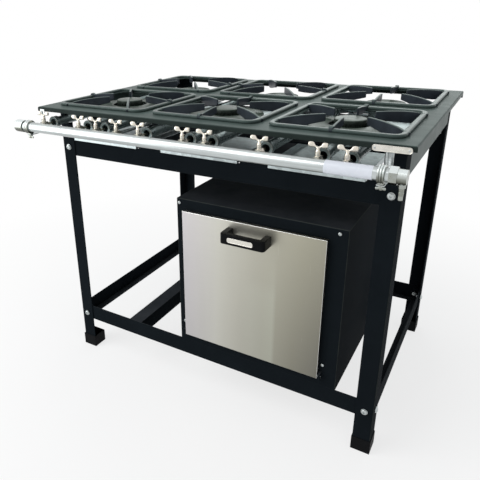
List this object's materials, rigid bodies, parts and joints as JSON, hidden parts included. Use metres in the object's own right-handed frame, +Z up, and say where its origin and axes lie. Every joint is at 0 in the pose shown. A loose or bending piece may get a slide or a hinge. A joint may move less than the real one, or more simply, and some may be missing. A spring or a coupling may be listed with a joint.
{
  "type": "industrial gas stove with oven",
  "caption": "Free-standing open-frame gas stove: sheet hob with cast grates and burners, front gas pipe with taps, drip trays and a drop-door oven.",
  "frame": {"origin": "on the floor, under the middle of the bounding box", "axes": "+X to the user's right, +Y to the back, +Z up"},
  "size_m": [1.047, 0.8174, 0.847],
  "materials": {
    "frame_black": "satin black paint",
    "foot_black": "matte",
    "hob_grey": "satin dark grey enamel",
    "grate_grey": "satin dark grey enamel",
    "burner_iron": "matt painted casting",
    "zinc": "zinc plated",
    "pipe_zinc": "bright zinc plated",
    "tap_nickel": "nickel plated",
    "inlet_brass": "turned brass",
    "tray_zinc": "galvanised sheet",
    "oven_black": "satin black paint",
    "oven_inside": "dark enamel",
    "door_steel": "brushed stainless",
    "handle_black": "satin black moulding",
    "rack_chrome": "bright wire"
  },
  "bodies": {
    "frame": {"leg_front_left": "frame_black", "leg_front_right": "frame_black", "leg_back_left": "frame_black", "leg_back_right": "frame_black", "rail_upper_front": "frame_black", "rail_upper_back": "frame_black", "rails_lower_long": "frame_black", "rails_lower_side": "frame_black", "rails_cross": "frame_black", "burner_bars": "frame_black", "feet": "foot_black", "frame_bolts": "zinc", "pipe_clamps": "zinc", "pipe_brackets": "zinc", "oven_hinge_pins": "zinc", "hob_top": "hob_grey", "rails_upper_side": "hob_grey", "burner_front_1": "burner_iron", "burner_front_2": "burner_iron", "burner_front_3": "burner_iron", "burner_back_1": "burner_iron", "burner_back_2": "burner_iron", "burner_back_3": "burner_iron", "burner_caps_front": "burner_iron", "burner_rings_front": "burner_iron", "burner_caps_back": "burner_iron", "manifold_pipe": "pipe_zinc", "manifold_end_cap": "pipe_zinc", "manifold_union": "pipe_zinc", "gas_inlet_nipple": "inlet_brass", "tap_injectors": "inlet_brass", "tap_bodies": "tap_nickel", "oven_shell": "oven_black", "oven_liner": "oven_inside", "oven_floor_plate": "oven_inside", "oven_burner": "oven_inside", "oven_gas_tube": "zinc"},
    "tap_handle_01": {"tap_handle_01": "tap_nickel"},
    "tap_handle_02": {"tap_handle_02": "tap_nickel"},
    "tap_handle_03": {"tap_handle_03": "tap_nickel"},
    "tap_handle_04": {"tap_handle_04": "tap_nickel"},
    "tap_handle_05": {"tap_handle_05": "tap_nickel"},
    "tap_handle_06": {"tap_handle_06": "tap_nickel"},
    "tap_handle_07": {"tap_handle_07": "tap_nickel"},
    "tap_handle_08": {"tap_handle_08": "tap_nickel"},
    "tap_handle_09": {"tap_handle_09": "tap_nickel"},
    "tap_handle_10": {"tap_handle_10": "tap_nickel"},
    "grate_front_1": {"grate_front_1": "grate_grey"},
    "grate_front_2": {"grate_front_2": "grate_grey"},
    "grate_front_3": {"grate_front_3": "grate_grey"},
    "grate_back_1": {"grate_back_1": "grate_grey"},
    "grate_back_2": {"grate_back_2": "grate_grey"},
    "grate_back_3": {"grate_back_3": "grate_grey"},
    "drip_tray_1": {"drip_tray_1": "tray_zinc"},
    "drip_tray_2": {"drip_tray_2": "tray_zinc"},
    "drip_tray_3": {"drip_tray_3": "tray_zinc"},
    "oven_door": {"oven_door_panel": "oven_inside", "oven_door_skin": "door_steel", "oven_door_handle": "handle_black"},
    "oven_rack": {"oven_rack": "rack_chrome"}
  },
  "joints": [
    {"name": "tap_01_turn", "type": "hinge", "parent": "frame", "child": "tap_handle_01", "pos_m": [-0.4435, -0.36825, 0.805], "axis": [0, 0, 1], "range_deg": [0, 90]},
    {"name": "tap_02_turn", "type": "hinge", "parent": "frame", "child": "tap_handle_02", "pos_m": [-0.3135, -0.36825, 0.805], "axis": [0, 0, 1], "range_deg": [0, 90]},
    {"name": "tap_03_turn", "type": "hinge", "parent": "frame", "child": "tap_handle_03", "pos_m": [-0.2535, -0.36825, 0.805], "axis": [0, 0, 1], "range_deg": [0, 90]},
    {"name": "tap_04_turn", "type": "hinge", "parent": "frame", "child": "tap_handle_04", "pos_m": [-0.186, -0.36825, 0.805], "axis": [0, 0, 1], "range_deg": [0, 90]},
    {"name": "tap_05_turn", "type": "hinge", "parent": "frame", "child": "tap_handle_05", "pos_m": [-0.1165, -0.36825, 0.805], "axis": [0, 0, 1], "range_deg": [0, 90]},
    {"name": "tap_06_turn", "type": "hinge", "parent": "frame", "child": "tap_handle_06", "pos_m": [0.0135, -0.36825, 0.805], "axis": [0, 0, 1], "range_deg": [0, 90]},
    {"name": "tap_07_turn", "type": "hinge", "parent": "frame", "child": "tap_handle_07", "pos_m": [0.0735, -0.36825, 0.805], "axis": [0, 0, 1], "range_deg": [0, 90]},
    {"name": "tap_08_turn", "type": "hinge", "parent": "frame", "child": "tap_handle_08", "pos_m": [0.2105, -0.36825, 0.805], "axis": [0, 0, 1], "range_deg": [0, 90]},
    {"name": "tap_09_turn", "type": "hinge", "parent": "frame", "child": "tap_handle_09", "pos_m": [0.3405, -0.36825, 0.805], "axis": [0, 0, 1], "range_deg": [0, 90]},
    {"name": "tap_10_turn", "type": "hinge", "parent": "frame", "child": "tap_handle_10", "pos_m": [0.4005, -0.36825, 0.805], "axis": [0, 0, 1], "range_deg": [0, 90]},
    {"name": "grate_front_1_lift", "type": "slide", "parent": "frame", "child": "grate_front_1", "axis": [0, 0, 1], "range_m": [0, 0.12]},
    {"name": "grate_front_2_lift", "type": "slide", "parent": "frame", "child": "grate_front_2", "axis": [0, 0, 1], "range_m": [0, 0.12]},
    {"name": "grate_front_3_lift", "type": "slide", "parent": "frame", "child": "grate_front_3", "axis": [0, 0, 1], "range_m": [0, 0.12]},
    {"name": "grate_back_1_lift", "type": "slide", "parent": "frame", "child": "grate_back_1", "axis": [0, 0, 1], "range_m": [0, 0.12]},
    {"name": "grate_back_2_lift", "type": "slide", "parent": "frame", "child": "grate_back_2", "axis": [0, 0, 1], "range_m": [0, 0.12]},
    {"name": "grate_back_3_lift", "type": "slide", "parent": "frame", "child": "grate_back_3", "axis": [0, 0, 1], "range_m": [0, 0.12]},
    {"name": "drip_tray_1_slide", "type": "slide", "parent": "frame", "child": "drip_tray_1", "axis": [0, -1, 0], "range_m": [0, 0.35]},
    {"name": "drip_tray_2_slide", "type": "slide", "parent": "frame", "child": "drip_tray_2", "axis": [0, -1, 0], "range_m": [0, 0.35]},
    {"name": "drip_tray_3_slide", "type": "slide", "parent": "frame", "child": "drip_tray_3", "axis": [0, -1, 0], "range_m": [0, 0.35]},
    {"name": "oven_door_hinge", "type": "hinge", "parent": "frame", "child": "oven_door", "pos_m": [0.1525, -0.28379, 0.193], "axis": [1, 0, 0], "range_deg": [0, 90]},
    {"name": "oven_rack_slide", "type": "slide", "parent": "frame", "child": "oven_rack", "axis": [0, -1, 0], "range_m": [0, 0.09]}
  ]
}
